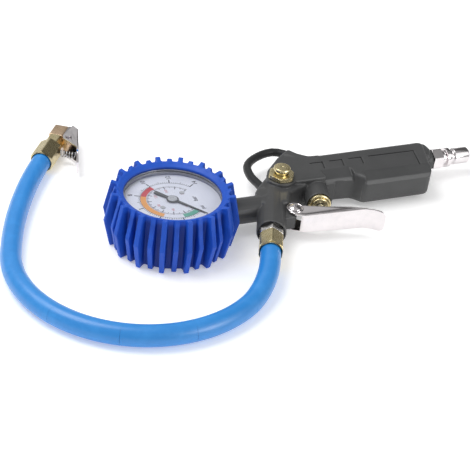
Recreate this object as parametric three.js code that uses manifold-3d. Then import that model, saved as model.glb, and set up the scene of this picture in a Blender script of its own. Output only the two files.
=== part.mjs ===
// Tyre inflator with a pressure gauge: a cast pistol grip lying on its side, a Bourdon gauge in a
// ribbed rubber boot, a trigger lever, a bleed button and a hose that ends in a clip-on chuck.
// Millimetres. Origin: centre of the boot's back, on the floor. +X runs along the gauge neck to the
// grip, +Y points away from the trigger, +Z is up, the way the dial faces.
import * as THREE from 'three';
import { mergeVertices } from 'three/addons/utils/BufferGeometryUtils.js';
import Module from 'manifold-3d';

const wasm = await Module();
wasm.setup();

// ---- driving dimensions ----
const GAP = 0.3; // air between neighbouring pieces
const MID = 13.3; // height of the grip's middle plane, which holds all the air passages

const RIBS = 32; // alternately tall and short, around the boot
const RIB_WIDTH = 3.2;
const RIB_PHASE = -4; // degrees from +X to the first tall rib
const BOOT_R = 35.4;
const BOOT_RIM = 37; // height of the boot's rim
const WINDOW_R = 31;
const WINDOW_Z = 34.4; // height of the window's edge, lower than the rim
const BOOT_FLOOR = 2.4;
const CASE_R = 32.6;
const CASE_WALL = 1.2;
const CASE_TOP = 30.6;
const LENS_T = 1;
const DIAL_Z = 28.6; // printed face of the dial
const DIAL_R = 31;
const POINTER_Z = 29.2;
const ZERO_ANGLE = -51.8; // the dial's zero mark, degrees from +X
const SECTOR_ARM = 13.2; // distance from pinion to sector arbor
const SECTOR_DIR = 170; // direction of the arbor from the pinion, degrees
const PINION_R = 1.3;
const LINK_ARM = 8; // sector arbor to link pin
const BOURDON_R = 22; // middle line of the bent tube
const SHANK_BORE = 6.4; // hole for the gauge's threaded shank

const NECK_LINE = { x: 0, y: 0, turn: 0 }; // axis of the gauge's neck
const NECK_R = 8.7;
const NECK_START = 34;
const HANDLE_EDGE = 3.4; // rounding of the grip's long edges
const HANDLE_LOW = 3.2;
const HANDLE_TOP = 25;
const HANDLE_BACK = 38.3; // y of the grip's far side
const HANDLE_FRONT = 1.6; // y of the grip's near side, past the finger step
const HANDLE_NECK = 9.3; // y of the grip's near side, before the step

const OUTLET = { x: 57.3, y: -29.3, turn: -114.5, r: 9.7, back: 50 }; // hose outlet's mouth
const TRIGGER = { x: 102.8, y: -5.1, turn: -104.6, r: 8.7, back: 49 }; // trigger valve's mouth
const BLEED = { x: 82.5, y: 15.7, r: 10 };
const INLET = { x: 208, y: 31.5, turn: 0, r: 8.6, back: 30 }; // air inlet's mouth
const CHAMBER_R = 6.3; // bore of the trigger valve
const CHAMBER_DEPTH = 40;
const RECESS = 2.2; // depth to which the hose adaptor's hexagon sinks into its boss
const GLAND_RECESS = 1.6; // the same for the trigger gland's flange

const PIVOT = { x: 79.7, y: -14.8 }; // trigger lever's pin
const PIVOT_HOLE = 2.3;
const LEVER_HALF = 6.8; // half the lever's width at the pin
const LEVER_FLARE = 0.0026; // growth of that width per millimetre along the lever
const LUG_REACH = 4.8; // half the height of the casting's lug between the lever's cheeks
const SHEET = 1.2; // sheet thickness of lever and clip

const HOSE_R = 6.5;
const HOSE_BORE = 4;
const HOSE_LOW = 6.65; // height of the hose's axis where it lies on the floor
const HOSE_DROP = 50; // length over which it comes down to the floor
const CHUCK_MID = 7.7; // height of the chuck's axis, resting on its ferrule
const CHUCK_RISE = 60; // length over which the hose comes up to it
const FERRULE_END = 21.5; // gun ferrule's mouth, from the casting's
const HOSE_BENDS = [ // successive bends, all to the right
  { length: 8, radius: 800 },
  { length: 28, radius: 74.6 },
  { length: 203.5, radius: 79.3 },
  { length: 108.5, radius: 327 },
];
const HOSE_PIECES = 9;
const HOSE_TUCK = 13; // hose hidden in each ferrule
const HOSE_GAP = 1.2; // cut at each flexing point

const CLIP_PIN = { along: 30.5, side: 9.6 }; // clip's pin, from the chuck ferrule's mouth
const CHUCK_FERRULE = 21; // mouth to far end of the chuck's ferrule
const CHUCK_START = 31.9; // the square block, from the ferrule's mouth
const CHUCK_END = 46.4;
const CHUCK_HALF = 5.3; // half the block's square section
const CLIP_HALF = 6.6; // half the clip's width

// ---- materials ----
const finish = (color, roughness, metalness) =>
  new THREE.MeshStandardMaterial({ color, roughness, metalness });
const CAST = finish(0x4b4c4d, 0.6, 0.1);
const LOOP = finish(0x2b2c2d, 0.45, 0);
const BLUE_RUBBER = finish(0x1f3fc0, 0.6, 0);
const BLACK_RUBBER = finish(0x17181a, 0.7, 0);
const HOSE_BLUE = finish(0x2f8fdc, 0.5, 0);
const BRASS = finish(0xc8a95a, 0.3, 1);
const CHROME = finish(0xe0dde0, 0.15, 1);
const STEEL = finish(0xb9babd, 0.35, 1);
const DIAL_WHITE = finish(0xe8e8f2, 0.7, 0);
const POINTER_GREY = finish(0x4a4a50, 0.5, 0);
const GLASS = finish(0xf4f8fa, 0.05, 0);

// ---- helpers ----
const rad = THREE.MathUtils.degToRad;
const polar = (radius, degrees) => [
  radius * Math.cos(rad(degrees)),
  radius * Math.sin(rad(degrees)),
];

// One closed geometry that holds only positions, faces pointing out.
function closed(geometry) {
  const bare = geometry.index ? geometry.toNonIndexed() : geometry.clone();
  for (const name of Object.keys(bare.attributes)) {
    if (name !== 'position') bare.deleteAttribute(name);
  }
  bare.clearGroups();
  const merged = mergeVertices(bare, 1e-5);
  const index = [];
  const old = merged.index.array;
  for (let i = 0; i < old.length; i += 3) {
    const [a, b, c] = [old[i], old[i + 1], old[i + 2]];
    if (a !== b && b !== c && c !== a) index.push(a, b, c);
  }
  if (signedVolume(merged.attributes.position, index) < 0) index.reverse();
  merged.setIndex(index);
  return merged;
}

function signedVolume(position, index) {
  const [a, b, c] = [new THREE.Vector3(), new THREE.Vector3(), new THREE.Vector3()];
  let volume = 0;
  for (let i = 0; i < index.length; i += 3) {
    a.fromBufferAttribute(position, index[i]);
    b.fromBufferAttribute(position, index[i + 1]);
    c.fromBufferAttribute(position, index[i + 2]);
    volume += a.dot(b.cross(c));
  }
  return volume / 6;
}

function solid(geometry) {
  const source = closed(geometry);
  const mesh = new wasm.Mesh({
    numProp: 3,
    vertProperties: new Float32Array(source.attributes.position.array),
    triVerts: new Uint32Array(source.index.array),
  });
  return new wasm.Manifold(mesh);
}

function meshed(manifold) {
  const mesh = manifold.getMesh();
  const geometry = new THREE.BufferGeometry();
  geometry.setAttribute('position', new THREE.BufferAttribute(mesh.vertProperties, 3));
  geometry.setIndex(new THREE.BufferAttribute(mesh.triVerts, 1));
  return geometry;
}

const join = (first, ...others) => others.reduce((all, one) => all.add(one), first);
const cut = (first, ...others) => others.reduce((all, one) => all.subtract(one), first);

// A turned piece about Z from a profile of [radius, height] points.
function turned(profile, segments = 20) {
  const points = profile.map(([r, z]) => new THREE.Vector2(r, z));
  return closed(new THREE.LatheGeometry(points, segments).rotateX(Math.PI / 2));
}

const rod = (r, z0, z1, segments) => turned([[0, z0], [r, z0], [r, z1], [0, z1]], segments);

function ring(inner, outer, z0, z1, segments) {
  return turned([[inner, z0], [outer, z0], [outer, z1], [inner, z1], [inner, z0]], segments);
}

// A six-sided piece about Z with its corners turned down at both ends.
function hexagon(acrossFlats, z0, z1, bore = 0) {
  const corner = acrossFlats / Math.sqrt(3);
  const ease = corner - acrossFlats / 2;
  const flats = rod(corner, z0, z1, 6);
  const inner = acrossFlats / 2;
  const bevel = ease * 0.6;
  const turnedBlank = turned(
    [[0, z0], [inner, z0], [corner, z0 + bevel], [corner, z1 - bevel], [inner, z1], [0, z1]],
    18,
  );
  const body = solid(flats).intersect(solid(turnedBlank));
  return bore ? meshed(body.subtract(solid(rod(bore, z0 - 1, z1 + 1, 20)))) : meshed(body);
}

// A flat outline from corners [x, y, corner radius].
function outline(corners, steps = 3) {
  const points = [];
  corners.forEach(([x, y, r = 0], i) => {
    const [px, py] = corners[(i + corners.length - 1) % corners.length];
    const [nx, ny] = corners[(i + 1) % corners.length];
    const here = new THREE.Vector2(x, y);
    if (!r) {
      points.push(here);
      return;
    }
    const back = new THREE.Vector2(px - x, py - y).normalize();
    const ahead = new THREE.Vector2(nx - x, ny - y).normalize();
    const half = Math.acos(THREE.MathUtils.clamp(back.dot(ahead), -1, 1)) / 2;
    const inward = back.clone().add(ahead).normalize();
    const centre = here.clone().addScaledVector(inward, r / Math.sin(half));
    const first = here.clone().addScaledVector(back, r / Math.tan(half)).sub(centre);
    const sweepAngle = (Math.PI - 2 * half) * Math.sign(back.cross(ahead)) * -1;
    for (let k = 0; k <= steps; k++) {
      points.push(first.clone().rotateAround(new THREE.Vector2(), (sweepAngle * k) / steps).add(centre));
    }
  });
  return new THREE.Shape(points);
}

// A plate between two heights with rounded upper and lower edges.
function plate(shape, z0, z1, bevel = 0, bevelSegments = 2) {
  const geometry = new THREE.ExtrudeGeometry(shape, {
    depth: z1 - z0 - 2 * bevel,
    bevelEnabled: bevel > 0,
    bevelThickness: bevel,
    bevelSize: bevel,
    bevelOffset: -bevel,
    bevelSegments,
    curveSegments: 12,
  });
  return closed(geometry.translate(0, 0, z0 + bevel));
}

// Local +Z points along the plan direction `turn`, local +X points up.
function aim({ x, y, z = MID, turn }) {
  const [dx, dy] = polar(1, turn);
  const along = new THREE.Vector3(dx, dy, 0);
  const up = new THREE.Vector3(0, 0, 1);
  const side = new THREE.Vector3().crossVectors(along, up);
  return new THREE.Matrix4().makeBasis(up, side, along).setPosition(x, y, z);
}

const aimed = (place, geometry) => geometry.clone().applyMatrix4(aim(place));

function circle(r, segments = 12) {
  const points = [];
  for (let i = 0; i < segments; i++) points.push(new THREE.Vector2(...polar(r, (360 * i) / segments)));
  return points;
}

function sweep(curve, section, steps) {
  return closed(new THREE.ExtrudeGeometry(section, { extrudePath: curve, steps, bevelEnabled: false }));
}

// A coil spring about Z.
class Helix extends THREE.Curve {
  constructor(r, z0, z1, turns) {
    super();
    Object.assign(this, { r, z0, z1, turns });
  }

  getPoint(t) {
    const [x, y] = polar(this.r, 360 * this.turns * t);
    return new THREE.Vector3(x, y, this.z0 + (this.z1 - this.z0) * t);
  }
}

function coil(r, wire, z0, z1, turns) {
  const curve = new Helix(r, z0 + wire, z1 - wire, turns);
  return sweep(curve, new THREE.Shape(circle(wire, 4)), Math.round(turns * 8));
}

const root = new THREE.Group();

function group(parent, matrix) {
  const made = new THREE.Group();
  made.applyMatrix4(matrix);
  parent.add(made);
  return made;
}

function piece(parent, name, geometry, material) {
  const mesh = new THREE.Mesh(closed(geometry), material);
  mesh.name = name;
  parent.add(mesh);
  return mesh;
}

// ---- gauge ----
const gauge = group(root, new THREE.Matrix4());

function boot() {
  const lip = 1.7;
  const cavity = CASE_R + 1.1;
  const shell = solid(turned([
    [0, 0], [34, 0], [BOOT_R, 1.4], [BOOT_R, BOOT_RIM - 0.6], [34.6, BOOT_RIM - 0.5],
    [WINDOW_R, WINDOW_Z], [WINDOW_R, WINDOW_Z - lip], [cavity, WINDOW_Z - lip],
    [cavity, BOOT_FLOOR], [0, BOOT_FLOOR],
  ], 48));
  // Rib outlines in the plane of the axis: [radius, height].
  const tall = [[34, 0.2], [39.6, 0], [43.6, 18], [39.2, 37.7], [33.5, 36.2], [34, 33.5]];
  const low = [[34, 0.4], [38.1, 0.5], [41.4, 18], [36.6, 37.7], [33.5, 36.2], [34, 33.5]];
  let body = shell;
  for (let i = 0; i < RIBS; i++) {
    const section = new THREE.Shape((i % 2 ? low : tall).map(([r, z]) => new THREE.Vector2(r, z)));
    const rib = new THREE.ExtrudeGeometry(section, { depth: RIB_WIDTH, bevelEnabled: false });
    rib.translate(0, 0, -RIB_WIDTH / 2).rotateX(Math.PI / 2);
    rib.rotateZ(rad(RIB_PHASE + (360 * i) / RIBS));
    body = body.add(solid(rib));
  }
  const neckHole = aimed(NECK_LINE, rod(NECK_R + 0.5, 20, 60, 20));
  return meshed(body.subtract(solid(neckHole)));
}
piece(gauge, 'gauge_boot', boot(), BLUE_RUBBER);

function gaugeCase() {
  const floor = BOOT_FLOOR + GAP;
  const inner = CASE_R - CASE_WALL;
  const cup = solid(turned([
    [0, floor], [CASE_R - 1, floor], [CASE_R, floor + 1], [CASE_R, CASE_TOP], [inner, CASE_TOP],
    [inner, floor + CASE_WALL], [0, floor + CASE_WALL],
  ], 36));
  const stemHole = aimed(NECK_LINE, rod(SHANK_BORE, 25, 40, 16));
  return meshed(cup.subtract(solid(stemHole)));
}
piece(gauge, 'gauge_case', gaugeCase(), STEEL);

const LENS_Z = CASE_TOP + GAP;
const BEZEL_Z = LENS_Z + LENS_T + GAP;
piece(gauge, 'gauge_lens', rod(CASE_R - 0.2, LENS_Z, LENS_Z + LENS_T, 36), GLASS);
piece(gauge, 'gauge_bezel', turned([
  [30.6, BEZEL_Z], [CASE_R + GAP, BEZEL_Z], [CASE_R + GAP, 25], [CASE_R + 0.8, 25],
  [CASE_R + 0.8, BEZEL_Z + 0.5], [30.6, BEZEL_Z + 0.5], [30.6, BEZEL_Z],
], 36), STEEL);

const DIAL_T = 0.5;
const DIAL_SCREWS = [90 + ZERO_ANGLE, -90 + ZERO_ANGLE];
const DIAL_SCREW_R = 11;
function dial() {
  const holes = DIAL_SCREWS.map((angle) => {
    const [x, y] = polar(DIAL_SCREW_R, angle);
    return solid(rod(1.1, DIAL_Z - 2, DIAL_Z + 1, 12).translate(x, y, 0));
  });
  const disc = solid(rod(DIAL_R, DIAL_Z - DIAL_T, DIAL_Z, 36));
  return meshed(cut(disc, solid(rod(1.6, DIAL_Z - 2, DIAL_Z + 1, 16)), ...holes));
}
piece(gauge, 'gauge_dial', dial(), DIAL_WHITE);

// Brass block that carries the Bourdon tube and the movement, with the threaded shank.
function socket() {
  const block = solid(plate(outline([[14, -6], [29.5, -6], [29.5, 6], [14, 6]]), 6.5, 18));
  const shank = solid(aimed(NECK_LINE, rod(SHANK_BORE - 0.4, 28, 50, 16)));
  const bore = solid(aimed(NECK_LINE, rod(1.6, 22, 51, 12)));
  const cross = solid(aimed({ x: 22, y: 0, turn: 90 }, rod(1.6, -0.5, 7, 12)));
  return meshed(cut(join(block, shank), bore, cross));
}
piece(gauge, 'gauge_socket', socket(), BRASS);
const threadSeal = ring(SHANK_BORE - 0.25, 7.6, NECK_START - 1, NECK_START - GAP, 16);
piece(gauge, 'gauge_thread_seal', aimed(NECK_LINE, threadSeal), BLACK_RUBBER);

// A flattened tube bent to a C, from the socket's side round to its tip.
class Arc extends THREE.Curve {
  constructor(r, z, from, to) {
    super();
    Object.assign(this, { r, z, from, to });
  }

  getPoint(t) {
    const [x, y] = polar(this.r, this.from + (this.to - this.from) * t);
    return new THREE.Vector3(x, y, this.z);
  }
}
const BOURDON_START = 22; // degrees from +X, at the socket
const BOURDON_END = 265;
function bourdonTube() {
  const flattened = (half, thin) => circle(1, 8).map(({ x, y }) => new THREE.Vector2(x * half, y * thin));
  const section = new THREE.Shape(flattened(3.6, 1.4));
  section.holes.push(new THREE.Path(flattened(3.1, 0.9)));
  return sweep(new Arc(BOURDON_R, MID - 1, BOURDON_START, BOURDON_END), section, 15);
}
piece(gauge, 'bourdon_tube', bourdonTube(), BRASS);

const TIP = polar(BOURDON_R, BOURDON_END + 7.5);
function bourdonTip() {
  const cap = plate(outline([[-2.4, -2.2], [2.4, -2.2], [2.4, 2.2], [-2.4, 2.2]]), 8.5, 16.2);
  const lug = plate(outline([[-1.6, -1.6], [1.6, -1.6], [1.6, 1.6], [-1.6, 1.6]]), 16, 19);
  return meshed(join(solid(cap), solid(lug))).rotateZ(rad(BOURDON_END)).translate(...TIP, 0);
}
piece(gauge, 'bourdon_tip', bourdonTip(), BRASS);

// Movement: two plates on pillars, with the sector and the pinion between them.
const BACK_PLATE = 18.4;
const FRONT_PLATE = 23.6;
const PLATE_T = 0.9;
const ARBOR = polar(SECTOR_ARM, SECTOR_DIR);
const PILLARS = [[-17, 4], [4.5, 6.5], [6.5, -5.5]];
const movementOutline = () => outline([
  [-19.5, -8, 2], [9, -8, 2], [9, 8.5, 2], [0, 9, 2], [-19.5, 6, 2],
]);

function backPlate() {
  const body = solid(plate(movementOutline(), BACK_PLATE, BACK_PLATE + PLATE_T));
  const foot = solid(plate(outline([[8, -4], [18, -4], [18, 4], [8, 4]]), BACK_PLATE, BACK_PLATE + PLATE_T));
  const pillars = PILLARS.map(([x, y]) => (
    solid(rod(1.1, BACK_PLATE + 0.2, FRONT_PLATE - GAP, 10).translate(x, y, 0))
  ));
  const holes = [[0, 0], ARBOR].map(([x, y]) => (
    solid(rod(1.1, BACK_PLATE - 1, BACK_PLATE + 2, 12).translate(x, y, 0))
  ));
  return meshed(cut(join(body, foot, ...pillars), ...holes));
}
piece(gauge, 'movement_back_plate', backPlate(), BRASS);

function frontPlate() {
  const body = solid(plate(movementOutline(), FRONT_PLATE, FRONT_PLATE + PLATE_T));
  const holes = [[0, 0], ARBOR].map(([x, y]) => (
    solid(rod(1.1, FRONT_PLATE - 1, FRONT_PLATE + 2, 12).translate(x, y, 0))
  ));
  return meshed(cut(body, ...holes));
}
piece(gauge, 'movement_front_plate', frontPlate(), BRASS);

// Toothed rim between two angles, closed by the points that follow it.
function toothed(r, height, from, to, count) {
  const points = [];
  const pitch = (to - from) / count;
  for (let i = 0; i < count; i++) {
    for (const [radius, place] of [[r - height, 0.1], [r, 0.35], [r, 0.65], [r - height, 0.9]]) {
      points.push(new THREE.Vector2(...polar(radius, from + pitch * (i + place))));
    }
  }
  return points;
}

const SECTOR_Z = 20.2;
const GEAR_T = 0.9;
const SECTOR_R = SECTOR_ARM - PINION_R - GAP;
const toPinion = SECTOR_DIR + 180;
const TAIL_DIR = toPinion - 150; // direction of the sector's tail from its arbor
function sector() {
  const rim = toothed(SECTOR_R, 0.7, toPinion - 33, toPinion + 6, 12);
  const blade = new THREE.Shape([...rim, new THREE.Vector2(0.5, 2.4), new THREE.Vector2(-1.5, 0)]);
  const [tx, ty] = polar(LINK_ARM, TAIL_DIR);
  const tail = plate(outline([[0, -1.2], [LINK_ARM + 1.4, -1], [LINK_ARM + 1.4, 1], [0, 1.2]]), 0, GEAR_T);
  const pin = rod(0.6, 0.2, 2.2, 10).translate(tx, ty, 0);
  return meshed(join(
    solid(plate(blade, 0, GEAR_T)),
    solid(tail.rotateZ(rad(TAIL_DIR))),
    solid(rod(2, 0, GEAR_T, 14)),
    solid(rod(0.8, BACK_PLATE + 0.2 - SECTOR_Z, FRONT_PLATE + 0.6 - SECTOR_Z, 10)),
    solid(pin),
  ));
}
const sectorGroup = group(gauge, new THREE.Matrix4().setPosition(ARBOR[0], ARBOR[1], SECTOR_Z));
piece(sectorGroup, 'sector_gear', sector(), BRASS);

// Link from the sector's tail to the tube's tip; its far eye hangs free over the tip's lug.
const LINK_PIN = [ARBOR[0] + polar(LINK_ARM, TAIL_DIR)[0], ARBOR[1] + polar(LINK_ARM, TAIL_DIR)[1]];
function link() {
  const length = Math.hypot(TIP[0] - LINK_PIN[0], TIP[1] - LINK_PIN[1]);
  const bar = solid(plate(outline([[0, -0.9], [length, -0.9], [length, 0.9], [0, 0.9]]), 0, 0.6));
  const eyes = [0, length].map((x) => solid(rod(1.7, 0, 0.6, 14).translate(x, 0, 0)));
  return meshed(cut(join(bar, ...eyes), solid(rod(0.9, -1, 2, 12))));
}
const linkTurn = Math.atan2(TIP[1] - LINK_PIN[1], TIP[0] - LINK_PIN[0]);
const linkPlace = new THREE.Matrix4().makeRotationZ(linkTurn);
linkPlace.setPosition(LINK_PIN[0], LINK_PIN[1], SECTOR_Z + GEAR_T + GAP);
piece(group(gauge, linkPlace), 'movement_link', link(), STEEL);

function pinion() {
  const gear = solid(plate(new THREE.Shape(toothed(PINION_R, 0.35, 0, 360, 8)), 20, 21.4));
  return meshed(join(gear, solid(rod(0.8, BACK_PLATE + 0.1, POINTER_Z + 0.7, 10))));
}
piece(gauge, 'pinion', pinion(), STEEL);

class Spiral extends THREE.Curve {
  getPoint(t) {
    const [x, y] = polar(1.9 + 2.6 * t, 360 * 3 * t);
    return new THREE.Vector3(x, y, 22.5);
  }
}
const strip = outline([[-0.4, -0.1], [0.4, -0.1], [0.4, 0.1], [-0.4, 0.1]]);
piece(gauge, 'hairspring', sweep(new Spiral(), strip, 30), STEEL);

function pointer() {
  const blade = outline([
    [-13.6, -1.4], [-12.6, -1.6], [-2.6, -1], [0, -1.1], [12, -0.65], [26, -0.15],
    [26, 0.15], [12, 0.65], [0, 1.1], [-2.6, 1], [-12.6, 1.6], [-13.6, 1.4],
  ]);
  const hub = rod(3.1, POINTER_Z, POINTER_Z + 1.2, 20);
  const hole = rod(1.1, POINTER_Z - 1, POINTER_Z + 1, 14);
  return meshed(cut(
    join(solid(plate(blade, POINTER_Z, POINTER_Z + 0.45)), solid(hub)),
    solid(hole),
  )).rotateZ(rad(ZERO_ANGLE));
}
piece(gauge, 'pointer', pointer(), POINTER_GREY);

DIAL_SCREWS.forEach((angle, i) => {
  const [x, y] = polar(DIAL_SCREW_R, angle);
  const shank = rod(0.8, FRONT_PLATE + PLATE_T + GAP, DIAL_Z + 0.5, 10);
  const head = turned([[0, DIAL_Z + 0.2], [1.7, DIAL_Z + 0.2], [1.4, DIAL_Z + 0.55], [0, DIAL_Z + 0.6]], 16);
  piece(gauge, `dial_screw_${i + 1}`, meshed(join(solid(shank), solid(head))).translate(x, y, 0), STEEL);
});

// ---- cast body ----
const loopPath = new THREE.CatmullRomCurve3(
  [[113, 43], [110.2, 57], [100.5, 66], [86, 62.5], [74.4, 52.6], [71.2, 38.5], [72.6, 26], [71.3, 15.8]]
    .map(([x, y]) => new THREE.Vector3(x, y, MID)),
);

function castBody() {
  const grip = outline([
    [100, HANDLE_NECK + 2], [134.5, HANDLE_NECK, 5], [140.5, HANDLE_FRONT, 5],
    [192.5, HANDLE_FRONT, 4.6], [206, HANDLE_BACK + 1.6, 4], [100, HANDLE_BACK],
  ]);
  const stub = outline([
    [185, 23], [203, 23, 4.5], [INLET.x - 1, 29, 4.5], [INLET.x - 1, HANDLE_BACK + 1, 4], [185, HANDLE_BACK],
  ]);
  const rear = outline([
    [92, 9], [121, 9], [121, HANDLE_BACK - 0.4], [113, HANDLE_BACK, 4], [107, 43.4, 2],
    [102.8, 50.4, 2], [90.2, 40.4, 2.2], [76.4, 26, 5], [76.4, 12, 4],
  ]);
  const head = outline([
    [60, -8, 2.6], [70, -9], [78, -9, 2.6], [84, 2], [93, 6.5], [104, 10], [104, 36], [90, 36],
    [76, 24.6, 3], [66.5, 15.2, 3], [61, 8.6, 3],
  ]);
  const lug = outline([[60, -10], [64, -21.6, 2], [78, -21.6, 1.5], [82.6, -12, 3], [80, -4]]);
  // Bar that takes the grip's near upper edge down from x0 to x1: a gentle slope, then a chamfer.
  const shoulder = (x0, x1, y) => {
    const bar = plate(outline([[-1, -6.2], [0, -6.2], [1.7, -3.6], [8.5, 0], [8.5, 1], [-1, 1]]), x0, x1);
    return bar.rotateX(Math.PI / 2).rotateZ(Math.PI / 2).translate(0, y, HANDLE_TOP);
  };
  const skin = join(
    solid(plate(grip, HANDLE_LOW, HANDLE_TOP, HANDLE_EDGE, 3)),
    solid(plate(stub, HANDLE_LOW + 1.4, HANDLE_TOP - 1.4, 2.2, 3)),
    solid(plate(rear, HANDLE_LOW, HANDLE_TOP, 1.4)),
    solid(plate(head, MID - 8.5, MID + 8.5, 2)),
    solid(plate(lug, MID - LUG_REACH, MID + LUG_REACH, 0.8)),
    solid(aimed(NECK_LINE, turned([
      [0, NECK_START], [NECK_R - 0.5, NECK_START], [NECK_R, NECK_START + 0.6], [NECK_R, 62],
      [NECK_R + 0.6, 68], [0, 68],
    ]))),
    ...[OUTLET, TRIGGER, INLET].map((boss) => solid(aimed(boss, turned([
      [0, -boss.back], [boss.r, -boss.back], [boss.r, -0.8], [boss.r - 0.8, 0], [0, 0],
    ])))),
    solid(turned([[0, 4], [BLEED.r, 4], [BLEED.r, 24.6], [BLEED.r - 0.4, HANDLE_TOP], [0, HANDLE_TOP]])
      .translate(BLEED.x, BLEED.y, 0)),
  );
  const bores = [
    aimed(INLET, rod(6.7, -13, 2)),
    aimed(INLET, rod(3.5, -94, -12, 12)),
    aimed(TRIGGER, rod(CHAMBER_R, -CHAMBER_DEPTH, 2)),
    rod(5.8, 12, 27).translate(BLEED.x, BLEED.y, 0),
    aimed({ ...BLEED, turn: -20 }, rod(2.4, 0, 20, 10)),
    aimed(OUTLET, rod(5.6, -14, 2)),
    aimed(OUTLET, rod(8.8, -RECESS - GAP, 2, 24)),
    aimed(TRIGGER, rod(8, -GLAND_RECESS - GAP, 2, 24)),
    aimed(OUTLET, rod(2.4, -53, -12, 10)),
    aimed(NECK_LINE, rod(SHANK_BORE, 33, 53)),
    aimed(NECK_LINE, rod(2, 52, 71, 10)),
    rod(PIVOT_HOLE, 0, 30, 16).translate(PIVOT.x, PIVOT.y, 0),
    sweep(loopPath, new THREE.Shape(circle(3 + GAP)), 20),
    shoulder(113, 135, HANDLE_NECK),
    shoulder(141, 215, HANDLE_FRONT),
  ].map(solid);
  return meshed(cut(skin, ...bores, ...gripGrooves()));
}

// Shallow lines in the grip's upper face: three short hooks and one long one.
function gripGrooves() {
  const width = 0.9;
  const depth = 0.7;
  const y = 28; // the long run of each hook
  const line = (x0, y0, x1, y1) => {
    const length = Math.hypot(x1 - x0, y1 - y0);
    const bar = new THREE.BoxGeometry(length + width, width, 2 * depth);
    bar.rotateZ(Math.atan2(y1 - y0, x1 - x0));
    return solid(bar.translate((x0 + x1) / 2, (y0 + y1) / 2, HANDLE_TOP));
  };
  const hook = (x, length, drop) => [
    line(x, y, x + length, y),
    line(x + length, y, x + length - drop * 0.26, y - drop),
  ];
  return [...hook(109.5, 9.6, 8.4), ...hook(124.5, 9.6, 8), ...hook(139.5, 9.6, 8), ...hook(155, 36.2, 18)];
}
piece(root, 'body_casting', castBody(), CAST);

// The loop's ends stop inside the two sockets in the casting.
class Trimmed extends THREE.Curve {
  getPoint(t) {
    return loopPath.getPointAt(0.03 + 0.93 * t);
  }
}
piece(root, 'hanging_loop', sweep(new Trimmed(), new THREE.Shape(circle(3)), 20), LOOP);

// ---- inlet plug ----
const inlet = group(root, aim(INLET));
piece(inlet, 'inlet_seal', ring(6.6, 7.2, GAP, 1, 16), BLACK_RUBBER);
function inletPlug() {
  const hex = solid(hexagon(14, 1.3, 9.4));
  const shank = solid(rod(6.3, -11.5, 2, 16));
  const nose = solid(turned([
    [0, 9], [5.2, 9], [5.2, 12.6], [7.1, 13], [7.1, 16.2], [6, 16.8], [4.7, 17.4], [4.7, 19.2],
    [6, 20.2], [6, 31.4], [5.2, 32.6], [0, 32.6],
  ], 16));
  return meshed(cut(join(hex, shank, nose), solid(rod(3.6, -12, 38, 12))));
}
piece(inlet, 'inlet_plug', inletPlug(), CHROME);

// ---- trigger valve: local +Z points out of the casting, towards the lever ----
const STEM_TIP = 19.7;
const SEAT = -8;
const POPPET = SEAT - 2.7;
const valve = group(root, aim(TRIGGER));
function triggerGland() {
  const body = solid(turned([
    [0, SEAT], [CHAMBER_R - GAP, SEAT], [CHAMBER_R - GAP, -GLAND_RECESS], [7.7, -GLAND_RECESS],
    [7.7, 1], [7, 1.6], [6.1, 1.6], [6.1, 2.4], [5.6, 2.9], [0, 2.9],
  ]));
  return meshed(body.subtract(solid(rod(2.9, SEAT - 1, 6, 16))));
}
piece(valve, 'trigger_gland', triggerGland(), BRASS);
function triggerStem() {
  return turned([
    [0, POPPET - 10], [1.6, POPPET - 10], [1.6, POPPET - 2], [5, POPPET - 2], [5, POPPET], [2.5, POPPET],
    [2.5, STEM_TIP - 1], [1.8, STEM_TIP - 0.2], [0, STEM_TIP],
  ], 20);
}
piece(valve, 'trigger_stem', triggerStem(), STEEL);
piece(valve, 'trigger_poppet_seal', ring(2.8, 4.8, POPPET + GAP, SEAT - GAP, 20), BLACK_RUBBER);
piece(valve, 'trigger_spring', coil(3.9, 0.5, -CHAMBER_DEPTH + GAP, POPPET - 2.3, 8), STEEL);

// ---- trigger lever ----
// Side view of the lever in plan: a channel with its back towards the fingers.
function triggerLever() {
  const front = [[83, -24.6], [124.5, -27.9], [129.5, -30.2], [136, -35.8]];
  const inner = [[136.9, -35], [129.6, -29], [124.6, -26.7], [83.1, -23.4]];
  const web = plate(outline([...front, ...inner]), -LEVER_HALF, LEVER_HALF, 0.4);
  const cheek = outline([
    [PIVOT.x - 5.3, PIVOT.y - 3, 3], [PIVOT.x - 3, PIVOT.y - 6.2, 3], [83, -24.6], [124.5, -27.9], [129, -29.9],
    [126, -26.4], [117, -22.4], [102, -18.2], [88, -13.4, 3], [PIVOT.x + 3.5, PIVOT.y + 5.6, 4],
    [PIVOT.x - 4, PIVOT.y + 5.2, 4],
  ]);
  const channel = solid(plate(cheek, -LEVER_HALF, LEVER_HALF, 0.9, 3));
  const hollow = solid(plate(
    outline([[60, -23.2], [83, -23.3], [124.5, -26.6], [130, -28.2], [130, -5], [60, -5]]),
    SHEET - LEVER_HALF, LEVER_HALF - SHEET,
  ));
  const hole = solid(rod(PIVOT_HOLE, -10, 10, 16).translate(PIVOT.x, PIVOT.y, 0));
  const lever = meshed(cut(join(channel.subtract(hollow), solid(web)), hole));
  const position = lever.attributes.position;
  for (let i = 0; i < position.count; i++) {
    const along = THREE.MathUtils.clamp(position.getX(i) - PIVOT.x, 0, 50);
    position.setZ(i, position.getZ(i) * (1 + LEVER_FLARE * along));
  }
  const corners = outline([[70, -9], [136.8, -9, 7], [136.8, 9, 7], [70, 9]], 5);
  const blank = plate(corners, -5, 45).rotateX(Math.PI / 2);
  return meshed(solid(lever).intersect(solid(blank)));
}
const lever = group(root, new THREE.Matrix4().setPosition(0, 0, MID));
piece(lever, 'trigger_lever', triggerLever(), CHROME);
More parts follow.
